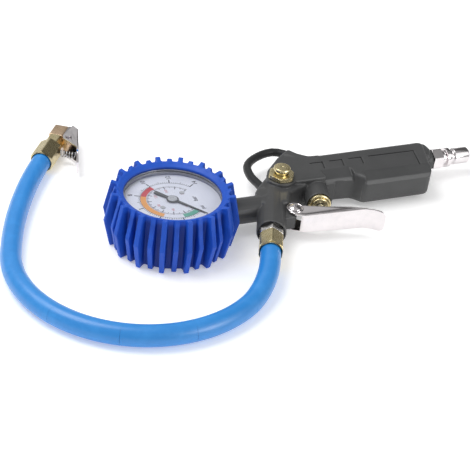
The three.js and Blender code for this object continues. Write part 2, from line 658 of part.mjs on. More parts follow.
piece(lever, 'trigger_pin', turned([
  [0, -9], [2, -9], [2, 7.1], [3.85, 7.1], [3.6, 8], [2.2, 8.7], [0, 8.9],
], 16).translate(PIVOT.x, PIVOT.y, 0), CHROME);
const pinClip = ring(2.3, 3.9, -8.3, -7.2, 12).translate(PIVOT.x, PIVOT.y, 0);
piece(lever, 'trigger_pin_clip', pinClip, STEEL);

// ---- bleed valve, upright ----
const bleed = group(root, new THREE.Matrix4().setPosition(BLEED.x, BLEED.y, 0));
const BLEED_SEAT = 19;
function bleedGland() {
  const hex = solid(hexagon(16, HANDLE_TOP + GAP, 28.2));
  const thread = solid(rod(5.5, 16.3, 26));
  const pocket = solid(rod(4.7, BLEED_SEAT, 30, 16));
  return meshed(cut(join(hex, thread), pocket, solid(rod(1.9, 10, 30, 12))));
}
piece(bleed, 'bleed_gland', bleedGland(), BRASS);
piece(bleed, 'bleed_button', turned([
  [0, 14.6], [3.2, 14.6], [3.2, 15.4], [1.6, 15.4], [1.6, 27.4], [4.3, 27.4], [4.3, 30.3],
  [5.4, 30.3], [5.7, 30.7], [5.7, 32.2], [5.1, 33], [0.6, 33.2], [0, 32.8],
], 16), BRASS);
piece(bleed, 'bleed_seal', ring(1.9, 4, 15.7, 16, 16), BLACK_RUBBER);
piece(bleed, 'bleed_spring', coil(3.3, 0.4, BLEED_SEAT + 0.1, 27.1, 5), STEEL);

// ---- hose line ----
const outlet = group(root, aim(OUTLET));
function barbs(from, to) {
  const profile = [[0, from]];
  for (let z = from; z < to - 1; z += 4) {
    profile.push([2.9, z], [3.4, z + 2.4]);
  }
  profile.push([2.9, to], [0, to]);
  return turned(profile, 10);
}
function hoseAdaptor() {
  const hex = solid(hexagon(14.5, -RECESS, 5));
  const thread = solid(rod(5.3, -12, 1, 20));
  const barb = solid(barbs(4, 21));
  return meshed(cut(join(hex, thread, barb), solid(rod(2.2, -13, 30, 14))));
}
piece(outlet, 'hose_adaptor', hoseAdaptor(), STEEL);
piece(outlet, 'gun_ferrule', hexagon(14.6, 5.3, FERRULE_END, HOSE_R + GAP), BRASS);

const HOSE_LENGTH = HOSE_BENDS.reduce((sum, { length }) => sum + length, 0);
class HosePath extends THREE.Curve {
  constructor(from, to) {
    super();
    Object.assign(this, { from, to });
  }

  // Point at a length along the hose, measured from the gun ferrule's mouth.
  static at(length) {
    let turn = rad(OUTLET.turn);
    let x = OUTLET.x + FERRULE_END * Math.cos(turn);
    let y = OUTLET.y + FERRULE_END * Math.sin(turn);
    if (length <= 0) {
      return new THREE.Vector3(x + length * Math.cos(turn), y + length * Math.sin(turn), MID);
    }
    let left = length;
    HOSE_BENDS.forEach(({ length: whole, radius }, i) => {
      const last = i === HOSE_BENDS.length - 1;
      const part = Math.min(left, whole);
      const next = turn - part / radius;
      x += radius * (Math.sin(turn) - Math.sin(next));
      y += radius * (Math.cos(next) - Math.cos(turn));
      turn = next;
      left -= part;
      if (last && left > 0) {
        x += left * Math.cos(turn);
        y += left * Math.sin(turn);
      }
    });
    const drop = THREE.MathUtils.smoothstep(length, 0, HOSE_DROP);
    const rise = THREE.MathUtils.smoothstep(length, HOSE_LENGTH - CHUCK_RISE, HOSE_LENGTH);
    return new THREE.Vector3(x, y, MID + (HOSE_LOW - MID) * drop + (CHUCK_MID - HOSE_LOW) * rise);
  }

  getPoint(t) {
    return HosePath.at(this.from + (this.to - this.from) * t);
  }
}
const HOSE_TURN = OUTLET.turn
  - HOSE_BENDS.reduce((sum, { length, radius }) => sum + THREE.MathUtils.radToDeg(length / radius), 0);
const PITCH = (HOSE_LENGTH + 2 * HOSE_TUCK) / HOSE_PIECES;
for (let i = 0; i < HOSE_PIECES; i++) {
  const from = -HOSE_TUCK + i * PITCH + (i ? HOSE_GAP / 2 : 0);
  const to = -HOSE_TUCK + (i + 1) * PITCH - (i < HOSE_PIECES - 1 ? HOSE_GAP / 2 : 0);
  const section = new THREE.Shape(circle(HOSE_R, 14));
  section.holes.push(new THREE.Path(circle(HOSE_BORE, 8)));
  piece(root, `hose_${i + 1}`, sweep(new HosePath(from, to), section, 5), HOSE_BLUE);
}

// ---- chuck: local +Z runs on from the hose, local +X is up, local +Y is the clip's side ----
const end = HosePath.at(HOSE_LENGTH);
const chuck = group(root, aim({ x: end.x, y: end.y, z: CHUCK_MID, turn: HOSE_TURN }));
piece(chuck, 'chuck_ferrule', hexagon(14.6, GAP, CHUCK_FERRULE, HOSE_R + GAP), BRASS);
const COLLAR_END = CHUCK_START - GAP;
const NECK_END = CHUCK_START + 3.6; // end of the collar's threaded neck, inside the block
function chuckAdaptor() {
  const barb = solid(barbs(0, 18)).mirror([0, 0, 1]).translate([0, 0, 13]);
  const stub = solid(rod(3.1, 12, CHUCK_FERRULE + 1, 16));
  const collar = solid(hexagon(11.6, CHUCK_FERRULE + GAP, COLLAR_END).rotateZ(rad(30)));
  const neck = solid(rod(3.8, COLLAR_END - 1, NECK_END, 14));
  return meshed(cut(join(collar, barb, stub, neck), solid(rod(2.2, -10, NECK_END + 1, 14))));
}
piece(chuck, 'chuck_adaptor', chuckAdaptor(), BRASS);

// An outline drawn in [side, along], raised to a height on both sides of the chuck's axis.
const across = (corners, half) => solid(
  plate(outline(corners), -half, half).applyMatrix4(new THREE.Matrix4().makeBasis(
    new THREE.Vector3(0, 1, 0), new THREE.Vector3(0, 0, 1), new THREE.Vector3(1, 0, 0),
  )),
);
// An upright rod on the clip's pivot.
const pivotRod = (r, z0, z1, segments) => (
  solid(rod(r, z0, z1, segments).rotateY(Math.PI / 2).translate(0, CLIP_PIN.side, CLIP_PIN.along))
);

const MOUTH_R = 4.1;
const MOUTH_FLOOR = 39;
const JAW_SLOT = 4.4; // half the height of the slot that lets the jaw into the mouth
const LUG_HALF = 4.6; // half the height of the lug that carries the clip's pin
function chuckBody() {
  const half = CHUCK_HALF;
  const square = outline([[-half, -half, 1.4], [half, -half, 1.4], [half, half, 1.4], [-half, half, 1.4]]);
  const arm = across([
    [4, 40], [4, 32.2], [6.2, 32.2], [6.2, 30.5], [13, 30.5], [12.4, 34, 2], [5, 40.5],
  ], LUG_HALF);
  const slot = new THREE.BoxGeometry(2 * JAW_SLOT, 4, 4).translate(0, half + 0.6, CHUCK_END);
  return meshed(cut(
    join(solid(plate(square, CHUCK_START, CHUCK_END, 0.5, 1)), arm, pivotRod(3.4, -LUG_HALF, LUG_HALF, 20)),
    solid(rod(MOUTH_R, CHUCK_START - 1, NECK_END + 0.4, 14)),
    solid(rod(2, NECK_END, MOUTH_FLOOR + 1, 14)),
    solid(rod(MOUTH_R, MOUTH_FLOOR, CHUCK_END + 1, 16)),
    pivotRod(1.4, -9, 9, 14),
    solid(slot),
  ));
}
piece(chuck, 'chuck_body', chuckBody(), BRASS);
piece(chuck, 'chuck_seal', ring(2.4, MOUTH_R - GAP, MOUTH_FLOOR + 1.5, 43.6, 14), BLACK_RUBBER);
function corePin() {
  const floor = MOUTH_FLOOR + 0.2;
  const bar = outline([[-3.6, -0.9], [3.6, -0.9], [3.6, 0.9], [-3.6, 0.9]]);
  return meshed(join(solid(plate(bar, floor, floor + 0.9)), solid(rod(0.9, floor, 42.5, 10))));
}
piece(chuck, 'chuck_core_pin', corePin(), BRASS);
piece(chuck, 'clip_pin', meshed(join(
  pivotRod(1.1, -7.5, 7.3, 14), pivotRod(2.1, CLIP_HALF + GAP, 7.6, 14),
)), STEEL);

// The clip seen from above in [side, along]: a channel whose jaw reaches into the mouth's slot.
function clip() {
  const outer = [[26.1, 2], [13.1, 42.5], [8.4, 46.2], [5, 46.2]];
  const inner = [[5, 45.1], [7.9, 45.1], [12, 41.9], [24.9, 1.6]];
  const spine = across([...outer, ...inner], CLIP_HALF);
  const cheeks = across(
    [[5.7, 31.5], [6.6, 27.4, 2], [20.7, 18], [12.9, 42.4], [8.2, 46], [5.7, 44]], CLIP_HALF,
  );
  const hollow = across([[3, 10], [22.3, 10], [12, 41.9], [7.9, 45.1], [3, 50]], CLIP_HALF - 1.1);
  const sideCuts = [1, -1].map((sign) => (
    solid(new THREE.BoxGeometry(6, 12, 18).translate(sign * 7.4, 25.1, 6.5))
  ));
  const jawCuts = [1, -1].map((sign) => (
    solid(new THREE.BoxGeometry(6, 4, 4).translate(sign * (JAW_SLOT + 2.6), 5.6, 46))
  ));
  const sheet = join(cheeks.subtract(hollow), spine);
  return meshed(cut(sheet, pivotRod(1.4, -9, 9, 14), ...sideCuts, ...jawCuts));
}
piece(chuck, 'chuck_clip', clip(), CHROME);
const clipSpring = coil(2.2, 0.4, 0, 10.8, 5).rotateX(-Math.PI / 2).translate(0, 8.6, 17);
piece(chuck, 'clip_spring', clipSpring, STEEL);

export default root;
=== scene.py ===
"""Looks of a tyre inflator with a pressure gauge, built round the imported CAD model.

Metres, in the CAD's own frame: +X along the gauge's neck to the grip, +Y away from the trigger,
+Z up, the way the dial faces. Lengths are written in millimetres and scaled by MM.
"""

import math

import bmesh
import bpy
from mathutils import Matrix, Vector
from mathutils.bvhtree import BVHTree


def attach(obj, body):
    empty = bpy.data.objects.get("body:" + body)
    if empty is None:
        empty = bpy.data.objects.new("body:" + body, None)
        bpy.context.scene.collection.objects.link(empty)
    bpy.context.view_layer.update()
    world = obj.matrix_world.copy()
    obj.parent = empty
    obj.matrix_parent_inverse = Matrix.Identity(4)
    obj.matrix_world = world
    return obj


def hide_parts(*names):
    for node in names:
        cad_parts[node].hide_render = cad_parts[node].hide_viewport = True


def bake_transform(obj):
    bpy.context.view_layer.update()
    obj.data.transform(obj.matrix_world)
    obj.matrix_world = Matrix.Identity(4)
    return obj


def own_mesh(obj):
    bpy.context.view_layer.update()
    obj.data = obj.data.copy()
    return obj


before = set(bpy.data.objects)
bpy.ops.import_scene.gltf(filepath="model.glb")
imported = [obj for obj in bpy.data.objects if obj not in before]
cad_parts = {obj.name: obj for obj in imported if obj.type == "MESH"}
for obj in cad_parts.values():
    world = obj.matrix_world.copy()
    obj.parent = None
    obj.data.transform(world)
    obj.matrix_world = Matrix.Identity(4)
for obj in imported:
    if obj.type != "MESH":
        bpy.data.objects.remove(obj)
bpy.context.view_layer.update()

MM = 0.001

# ---- places and sizes shared with the CAD source, in millimetres and degrees ----
MID = 13.3  # height of the grip's middle plane
OUTLET = {"x": 57.3, "y": -29.3, "turn": -114.5}
TRIGGER = {"x": 102.8, "y": -5.1, "turn": -104.6}
INLET = {"x": 208, "y": 31.5, "turn": 0}
BLEED = (82.5, 15.7)
PIVOT = (79.7, -14.8)
HANDLE_TOP = 25
RECESS = 2.2  # how far the hose adaptor sits in the casting
GLAND_RECESS = 1.6
HOSE_R = 6.5
HOSE_LOW = 6.65  # height of the hose's axis where it lies on the floor
HOSE_DROP = 50  # length over which it comes down
HOSE_BENDS = [(8, 800), (28, 74.6), (203.5, 79.3), (108.5, 327)]  # length and radius of each bend
HOSE_PIECES = 9
HOSE_TUCK = 13  # length hidden in a ferrule
FERRULE_END = 21.5  # from the outlet's face
CHUCK_MID = 7.7  # height of the chuck's axis
CHUCK_RISE = 60  # length over which the hose climbs to it
CHUCK_FERRULE = 21
CHUCK_START = 31.9  # where the square block begins
DIAL_Z = 28.6
DIAL_R = 31
CASE_R = 32.6
CASE_TOP = 30.6
POINTER_Z = 29.2
ZERO_ANGLE = -51.8  # direction of the pointer at zero
GAP = 0.3


def polar(radius, degrees):
    """Point on the floor plane at a radius and direction from the origin."""
    angle = math.radians(degrees)
    return Vector((radius * math.cos(angle), radius * math.sin(angle), 0))


# ---- node materials ----
BLOOM_SCALE = 45  # patches of bloom on rubber, per metre
RUBBER_GRAIN = 3200  # grains of moulded rubber, per metre
ROOT_RADIUS = 36 * MM  # the boot between its ribs
RIB_RADIUS = 39.5 * MM
LIP_BOTTOM = 32 * MM  # the boot's rim above its ribs
LIP_TOP = 34.5 * MM


class Nodes:
    """Shorthand for building the node tree of a material, or of the world."""

    def __init__(self, name, world=False):
        self.owner = (bpy.data.worlds if world else bpy.data.materials).new(name)
        self.owner.use_nodes = True
        self.tree = self.owner.node_tree
        self.shader = self.tree.nodes["Background" if world else "Principled BSDF"]
        self.place = self.add("ShaderNodeTexCoord").outputs["Generated" if world else "Object"]

    def add(self, kind, inputs=None, **settings):
        node = self.tree.nodes.new(kind)
        for key, value in settings.items():
            setattr(node, key, value)
        for key, value in (inputs or {}).items():
            self.feed(node.inputs[key], value)
        return node

    def feed(self, socket, value):
        """Links a socket, or sets its value."""
        if isinstance(value, bpy.types.NodeSocket):
            self.tree.links.new(value, socket)
        else:
            socket.default_value = value

    def set(self, **values):
        """Sets inputs of the main shader, with _ for the spaces in their names."""
        for key, value in values.items():
            self.feed(self.shader.inputs[key.replace("_", " ")], value)

    def noise(self, scale, detail=3, roughness=0.5):
        """Noise whose cells are about 1/scale of a metre across."""
        return self.add(
            "ShaderNodeTexNoise",
            {"Vector": self.place, "Scale": scale, "Detail": detail, "Roughness": roughness},
        ).outputs["Fac"]

    def ramp(self, value, low, high, low_value, high_value):
        """Maps a value from [low, high] to [low_value, high_value]."""
        return self.add(
            "ShaderNodeMapRange",
            {"Value": value, "From Min": low, "From Max": high, "To Min": low_value, "To Max": high_value},
        ).outputs["Result"]

    def math(self, operation, first, second):
        return self.add("ShaderNodeMath", {0: first, 1: second}, operation=operation).outputs[0]

    def mix(self, factor, first, second):
        """Blend of two colours."""
        node = self.add("ShaderNodeMix", data_type="RGBA")
        self.feed(node.inputs["Factor"], factor)
        self.feed(node.inputs[6], first)
        self.feed(node.inputs[7], second)
        return node.outputs[2]

    def bump(self, height, distance, strength):
        """Normal of a surface raised by up to `distance` millimetres."""
        inputs = {"Height": height, "Distance": distance * MM, "Strength": strength}
        return self.add("ShaderNodeBump", inputs).outputs["Normal"]


def rgb(red, green, blue):
    """Opaque colour."""
    return (red, green, blue, 1)


def cast_metal():
    """Satin dark grey die casting with a fine grain, and lighter edges that are a painted highlight."""
    nodes = Nodes("casting")
    cloud = nodes.noise(60, 4)
    grain = nodes.noise(2600, 2)
    # painted highlight: the sharpest edges turn a lighter grey where light would catch them
    painted_edge_highlight = nodes.ramp(nodes.add("ShaderNodeNewGeometry").outputs["Pointiness"], 0.51, 0.56, 0, 0.6)
    base = nodes.mix(nodes.ramp(cloud, 0.3, 0.7, 0, 1), rgb(0.058, 0.059, 0.060), rgb(0.070, 0.071, 0.072))
    nodes.set(
        Base_Color=nodes.mix(painted_edge_highlight, base, rgb(0.12, 0.12, 0.12)),
        Roughness=nodes.ramp(grain, 0.3, 0.7, 0.36, 0.5),
        Specular_IOR_Level=0.4,
        Normal=nodes.bump(grain, 0.05, 0.5),
    )
    return nodes.owner


def moulded_rubber(name, dark, light, rough):
    """Rubber with a soft grain and a faint uneven bloom."""
    nodes = Nodes(name)
    bloom = nodes.noise(BLOOM_SCALE, 5, roughness=0.6)
    grain = nodes.noise(RUBBER_GRAIN, 2)
    nodes.set(
        Base_Color=nodes.mix(nodes.ramp(bloom, 0.35, 0.65, 0, 1), dark, light),
        Roughness=nodes.ramp(nodes.noise(150), 0.3, 0.7, rough - 0.06, rough + 0.08),
        Specular_IOR_Level=0.3,
        Normal=nodes.bump(grain, 0.04, 0.5),
    )
    return nodes.owner


def ribbed_rubber():
    """The boot's blue rubber, with painted shade between the ribs, below the rim."""
    nodes = Nodes("boot")
    bloom = nodes.ramp(nodes.noise(BLOOM_SCALE, 5, roughness=0.6), 0.35, 0.65, 0, 1)
    bloomed_blue = nodes.mix(bloom, rgb(0.012, 0.085, 0.52), rgb(0.016, 0.104, 0.60))
    axes = nodes.add("ShaderNodeSeparateXYZ", {"Vector": nodes.place})
    x, y, z = axes.outputs["X"], axes.outputs["Y"], axes.outputs["Z"]
    square_sum = nodes.math("ADD", nodes.math("MULTIPLY", x, x), nodes.math("MULTIPLY", y, y))
    radius = nodes.math("POWER", square_sum, 0.5)
    # painted shade: darker blue deep between the ribs, fading out towards the rib tops and the rim
    between_ribs = nodes.ramp(radius, ROOT_RADIUS, RIB_RADIUS, 1, 0)
    below_lip = nodes.ramp(z, LIP_BOTTOM, LIP_TOP, 1, 0)
    painted_rib_shade = nodes.math("MULTIPLY", nodes.math("MULTIPLY", between_ribs, below_lip), 0.75)
    nodes.set(
        Base_Color=nodes.mix(painted_rib_shade, bloomed_blue, rgb(0.004, 0.026, 0.22)),
        Roughness=nodes.ramp(nodes.noise(150), 0.3, 0.7, 0.38, 0.52),
        Specular_IOR_Level=0.3,
        Normal=nodes.bump(nodes.noise(RUBBER_GRAIN, 2), 0.04, 0.5),
    )
    return nodes.owner


def hose_rubber():
    """Light blue hose: a slight gloss with fine extrusion lines and scuffs."""
    nodes = Nodes("hose")
    scuff = nodes.ramp(nodes.noise(90, 6, roughness=0.7), 0.45, 0.62, 0, 1)
    lines = nodes.noise(900, 2)
    nodes.set(
        Base_Color=nodes.mix(scuff, rgb(0.028, 0.26, 0.70), rgb(0.036, 0.29, 0.75)),
        Roughness=nodes.ramp(scuff, 0, 1, 0.32, 0.42),
        Normal=nodes.bump(lines, 0.05, 0.35),
        Coat_Weight=0.15,
        Coat_Roughness=0.25,
    )
    return nodes.owner


def metal(name, base, tarnish, rough, line_depth=0.02):
    """Bare or plated metal with tool marks and light tarnish."""
    nodes = Nodes(name)
    cloud = nodes.noise(220, 4)
    marks = nodes.noise(1800, 3)
    nodes.set(
        Base_Color=nodes.mix(nodes.ramp(cloud, 0.35, 0.75, 0, 1), base, tarnish),
        Metallic=1.0,
        Roughness=nodes.ramp(marks, 0.3, 0.7, rough * 0.8, rough * 1.3),
        Normal=nodes.bump(marks, line_depth, 0.3),
    )
    return nodes.owner


def enamel(name, base, shade, rough):
    """Paint, or printing ink, with a slightly uneven colour."""
    nodes = Nodes(name)
    nodes.set(
        Base_Color=nodes.mix(nodes.ramp(nodes.noise(120, 4), 0.3, 0.7, 0, 1), base, shade),
        Roughness=nodes.ramp(nodes.noise(900), 0.3, 0.7, rough - 0.05, rough + 0.08),
        Normal=nodes.bump(nodes.noise(2400), 0.01, 0.3),
    )
    return nodes.owner


def clear_lens():
    """Lens that lets light straight through and mirrors the room at a glancing angle."""
    nodes = Nodes("lens")
    clear = nodes.add("ShaderNodeBsdfTransparent", {"Color": rgb(0.97, 0.98, 0.99)})
    smears = nodes.ramp(nodes.noise(80), 0.3, 0.7, 0.03, 0.08)
    gloss = nodes.add("ShaderNodeBsdfGlossy", {"Roughness": smears})
    facing = nodes.add("ShaderNodeLayerWeight", {"Blend": 0.5}).outputs["Facing"]
    share = nodes.ramp(facing, 0.4, 1, 0.02, 0.3)
    mixed = nodes.add("ShaderNodeMixShader", {0: share, 1: clear.outputs[0], 2: gloss.outputs[0]})
    nodes.tree.links.new(mixed.outputs[0], nodes.tree.nodes["Material Output"].inputs["Surface"])
    return nodes.owner


CAST = cast_metal()
BOOT = ribbed_rubber()
LOOP = moulded_rubber("loop", rgb(0.022, 0.023, 0.024), rgb(0.032, 0.033, 0.034), 0.4)
BLACK = moulded_rubber("seal", rgb(0.006, 0.006, 0.008), rgb(0.012, 0.012, 0.014), 0.5)
HOSE = hose_rubber()
BRASS = metal("brass", rgb(0.80, 0.70, 0.42), rgb(0.66, 0.55, 0.30), 0.26)
PINK_BRASS = metal("chuck_brass", rgb(0.80, 0.60, 0.42), rgb(0.68, 0.48, 0.30), 0.3)
CHROME = metal("chrome", rgb(0.80, 0.76, 0.77), rgb(0.74, 0.71, 0.72), 0.1, 0.006)
NICKEL = metal("nickel", rgb(0.92, 0.90, 0.88), rgb(0.84, 0.82, 0.80), 0.2)
STEEL = metal("steel", rgb(0.56, 0.56, 0.57), rgb(0.44, 0.44, 0.45), 0.32)
# painted shade: near-black metal for the inner faces of the pressed chrome sheets, where the channel lies in
# shade
INSIDE_SHADE = metal("painted_inside_shade", rgb(0.09, 0.085, 0.085), rgb(0.05, 0.048, 0.048), 0.5)
CASE = enamel("case", rgb(0.42, 0.42, 0.45), rgb(0.36, 0.36, 0.39), 0.3)
DIAL = enamel("dial", rgb(0.80, 0.80, 0.88), rgb(0.74, 0.74, 0.83), 0.5)
INK = enamel("dial_ink", rgb(0.05, 0.05, 0.07), rgb(0.08, 0.08, 0.11), 0.6)
RED = enamel("dial_red", rgb(0.55, 0.06, 0.08), rgb(0.62, 0.10, 0.12), 0.6)
ORANGE = enamel("dial_orange", rgb(0.80, 0.34, 0.10), rgb(0.84, 0.42, 0.16), 0.6)
GREEN = enamel("dial_green", rgb(0.12, 0.38, 0.30), rgb(0.18, 0.46, 0.36), 0.6)
POINTER = enamel("pointer", rgb(0.09, 0.09, 0.10), rgb(0.12, 0.12, 0.13), 0.4)
HUB = enamel("pointer_hub", rgb(0.55, 0.55, 0.58), rgb(0.45, 0.45, 0.48), 0.3)
PINK_INK = enamel("dial_pink", rgb(0.60, 0.28, 0.32), rgb(0.66, 0.36, 0.40), 0.6)
LENS_GLASS = clear_lens()


# ---- mesh helpers, in millimetres until made() scales them ----
WELD = 1e-7  # vertices closer than this, in metres, become one
ON_AXIS = 1e-6  # a profile point with a smaller radius is a pole
CORNER_STEPS = 3
FLAT_ANGLE = math.radians(1)
BEVEL_ANGLE = math.radians(28)


def placed(name, data):
    """A new object in the scene."""
    item = bpy.data.objects.new(name, data)
    bpy.context.scene.collection.objects.link(item)
    return item


def applied(item):
    """Mesh of an object with its modifiers, or its text outline, worked out."""
    return bpy.data.meshes.new_from_object(item.evaluated_get(bpy.context.evaluated_depsgraph_get()))


def made(name, verts, faces, material, body, place=None, replaces=(), slot=None, sharp=35):
    """A mesh piece that rides on a body. `place` is its matrix in millimetres."""
    mesh = bpy.data.meshes.new(name)
    mesh.from_pydata([tuple(v) for v in verts], [], faces)
    if place:
        mesh.transform(place)
    mesh.transform(Matrix.Scale(MM, 4))
    return finished(name, mesh, material, body, replaces, slot, sharp)


def finished(name, mesh, material, body, replaces=(), slot=None, sharp=35):
    """Cleans a mesh, shades it smooth up to an angle, and puts it on its body."""
    work = bmesh.new()
    work.from_mesh(mesh)
    bmesh.ops.remove_doubles(work, verts=work.verts, dist=WELD)
    bmesh.ops.recalc_face_normals(work, faces=work.faces)
    work.to_mesh(mesh)
    work.free()
    mesh.materials.clear()
    mesh.materials.append(material)
    mesh.shade_smooth()
    mesh.set_sharp_from_angle(angle=math.radians(sharp))
    piece = placed(name, mesh)
    if body:
        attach(piece, body)
    if replaces:
        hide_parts(*replaces)
    return piece


def aim(x, y, turn, z=MID):
    """Local +Z points along the plan direction `turn`, local +X points up."""
    along = polar(1, turn)
    up = Vector((0, 0, 1))
    side = along.cross(up)
    return Matrix.Translation((x, y, z)) @ Matrix((up, side, along)).transposed().to_4x4()


def upright(x, y, z=0):
    """Local axes as the object's own, moved to a place."""
    return Matrix.Translation((x, y, z))


def eased(profile, radius):
    """The profile with every corner turned to a small arc."""
    points = [Vector(p) for p in profile]
    out = [points[0]]
    for before, here, after in zip(points, points[1:], points[2:]):
        back, ahead = before - here, after - here
        r = min(radius, back.length * 0.45, ahead.length * 0.45)
        start, end = here + back.normalized() * r, here + ahead.normalized() * r
        for k in range(CORNER_STEPS + 1):
            t = k / CORNER_STEPS
            out.append(start * (1 - t) ** 2 + here * 2 * t * (1 - t) + end * t**2)
    out.append(points[-1])
    return out


def grid_faces(rows, closed_rows=False):
    """Faces between rows of vertex numbers; a row of one vertex is a pole."""
    faces = []
    pairs = list(zip(rows, rows[1:]))
    if closed_rows:
        pairs.append((rows[-1], rows[0]))
    for a, b in pairs:
        count = max(len(a), len(b))
        for i in range(count):
            j = (i + 1) % count
            corners = [a[i % len(a)], a[j % len(a)], b[j % len(b)], b[i % len(b)]]
            corners = list(dict.fromkeys(corners))
            if len(corners) > 2:
                faces.append(corners)
    return faces


def circle(r, angle):
    """radius_at for a plain round section."""
    return r


def revolved(profile, radius_at=circle, segments=64):
    """Surface about Z from a profile of (radius, height); radius_at bends the circle."""
    verts, rows = [], []
    for r, z in profile:
        count = 1 if r < ON_AXIS else segments
        rows.append(range(len(verts), len(verts) + count))
        for i in range(count):
            angle = 360 * i / segments
            verts.append(polar(radius_at(r, angle), angle) + Vector((0, 0, z)))
    ring = profile[0][0] > ON_AXIS
    return verts, grid_faces([list(row) for row in rows], closed_rows=ring)


def lathe(name, profile, material, body, place, ease=0.3, segments=64, **more):
    """A turned piece. A profile that starts off the axis closes on itself as a ring."""
    verts, faces = revolved(eased(profile, ease), segments=segments)
    return made(name, verts, faces, material, body, place, **more)


def hexagon(across_flats, turn):
    """radius_at for a hexagon whose corners stop at the profile's own radius."""
    def radius_at(r, angle):
        from_flat = math.radians((angle - turn) % 60 - 30)
        return min(r, across_flats / 2 / math.cos(from_flat))
    return radius_at


def nut(name, across_flats, z0, z1, bore, material, body, place, turn=0, nose=(), mouth=0, **more):
    """Hexagon with turned-down corners and a bore. A turned nose may follow it past z1, and the bore
    may widen by `mouth` where it opens at z0."""
    corner = across_flats / math.sqrt(3) * 0.985
    flat = across_flats / 2 * 1.005
    drop = (corner - flat) * 0.55
    shoulder = (flat + corner) / 2
    shoulder_drop = drop * 0.35
    outside = [
        (bore + mouth, z0), (flat - 0.1, z0), (shoulder, z0 + shoulder_drop), (corner, z0 + drop),
        (corner, z1 - drop), (shoulder, z1 - shoulder_drop), (flat - 0.3, z1),
    ]
    outside += list(nose) or [(bore, z1)]
    profile = eased(outside, 0.25) + [Vector((bore, (z0 + z1) / 2))]
    if mouth:
        mouth_depth = 2
        profile += [Vector((bore, z0 + mouth_depth + 1)), Vector((bore + mouth, z0 + mouth_depth))]
    verts, faces = revolved(profile, hexagon(across_flats, turn), segments=120)
    return made(name, verts, faces, material, body, place, sharp=22, **more)


def tube(points, radius, segments):
    """Capped tube through a list of points, with its section carried along without twist."""
    points = [Vector(p) for p in points]
    verts, rows = [], []
    normal = Vector((0, 0, 1))
    for i, point in enumerate(points):
        ahead = (points[min(i + 1, len(points) - 1)] - points[max(i - 1, 0)]).normalized()
        normal = (normal - ahead * normal.dot(ahead)).normalized()
        side = ahead.cross(normal)
        rows.append(list(range(len(verts), len(verts) + segments)))
        for k in range(segments):
            turn = 2 * math.pi * k / segments
            verts.append(point + (normal * math.cos(turn) + side * math.sin(turn)) * radius)
    return verts, grid_faces(rows) + [rows[0][::-1], rows[-1]]


def softened(name, node, material, body, voxel, rounds, keep, **more):
    """A copy of a CAD node with moulded, rounded edges: remeshed finely, smoothed, then thinned out
    to the share `keep` of its faces."""
    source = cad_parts[node]
    copy = placed(name + "_source", source.data.copy())
    remesh = copy.modifiers.new("remesh", "REMESH")
    remesh.mode = "VOXEL"
    remesh.voxel_size = voxel * MM
    smooth = copy.modifiers.new("smooth", "SMOOTH")
    smooth.factor = 0.5
    smooth.iterations = rounds
    decimate = copy.modifiers.new("decimate", "DECIMATE")
    decimate.ratio = keep
    mesh = applied(copy)
    bpy.data.objects.remove(copy)
    return finished(name, mesh, material, body, replaces=[node], **more)


def shade_inside_faces(piece):
    """Gives near-black metal, a painted shade, to the faces of a pressed sheet that look at the sheet's other
    side.
    """
    reach = 14 * MM
    skin = 0.02 * MM
    mesh = piece.data
    mesh.materials.append(INSIDE_SHADE)
    tree = BVHTree.FromPolygons([v.co for v in mesh.vertices], [p.vertices for p in mesh.polygons])
    for face in mesh.polygons:
        start = face.center + face.normal * skin
        if tree.ray_cast(start, face.normal, reach)[0]:
            face.material_index = 1


def bevelled(name, node, material, body, width, **more):
    """A copy of a CAD node whose sharp edges are rounded."""
    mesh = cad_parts[node].data.copy()
    work = bmesh.new()
    work.from_mesh(mesh)
    bmesh.ops.remove_doubles(work, verts=work.verts, dist=WELD)
    bmesh.ops.dissolve_limit(work, angle_limit=FLAT_ANGLE, verts=work.verts, edges=work.edges)
    sharp = [e for e in work.edges if len(e.link_faces) == 2 and e.calc_face_angle() > BEVEL_ANGLE]
    bmesh.ops.bevel(
        work, geom=sharp, offset=width * MM, segments=2, profile=0.5, affect="EDGES",
        clamp_overlap=True,
    )
    work.to_mesh(mesh)
    work.free()
    return finished(name, mesh, material, body, replaces=[node], **more)


HOOKS = [(109.5, 9.6, 8.4), (124.5, 9.6, 8), (139.5, 9.6, 8), (155, 36.2, 18)]  # start, length, drop
HOOK_LINE = 28  # y of every hook's long side
HOOK_SLANT = 0.26
GROOVE_HALF = 0.55
GROOVE_DEPTH = 1.0


def engrave(casting):
    """Cuts the grip's shallow lines with crisp edges: three short hooks and one long one."""
    work = bmesh.new()
    for x, length, drop in HOOKS:
        start, corner = Vector((x, HOOK_LINE)), Vector((x + length, HOOK_LINE))
        end = corner + Vector((-HOOK_SLANT * drop, -drop))
        along = (end - corner).normalized()
        side = Vector((-along.y, along.x)) * GROOVE_HALF
        across = Vector((0, GROOVE_HALF))
        mitre = Vector((GROOVE_HALF, GROOVE_HALF))
        path = [start + across, corner + mitre, end + side, end - side, corner - mitre, start - across]
        low = [work.verts.new((p.x, p.y, HANDLE_TOP - GROOVE_DEPTH)) for p in path]
        top = [work.verts.new((p.x, p.y, HANDLE_TOP + 1)) for p in path]
        for face in grid_faces([low, top]) + [low[::-1], top]:
            work.faces.new(face)
    bmesh.ops.recalc_face_normals(work, faces=work.faces)
    mesh = bpy.data.meshes.new("grooves")
    work.to_mesh(mesh)
    work.free()
    mesh.transform(Matrix.Scale(MM, 4))
    cutter = placed("grooves", mesh)
    modifier = casting.modifiers.new("engrave", "BOOLEAN")
    modifier.operation = "DIFFERENCE"
    modifier.object = cutter
    cut = applied(casting)
    casting.modifiers.clear()
    casting.data = cut
    bpy.data.objects.remove(cutter)


# ---- gauge ----
softened("boot_rubber", "gauge_boot", BOOT, "gun", voxel=0.42, rounds=3, keep=0.5, slot="boot")

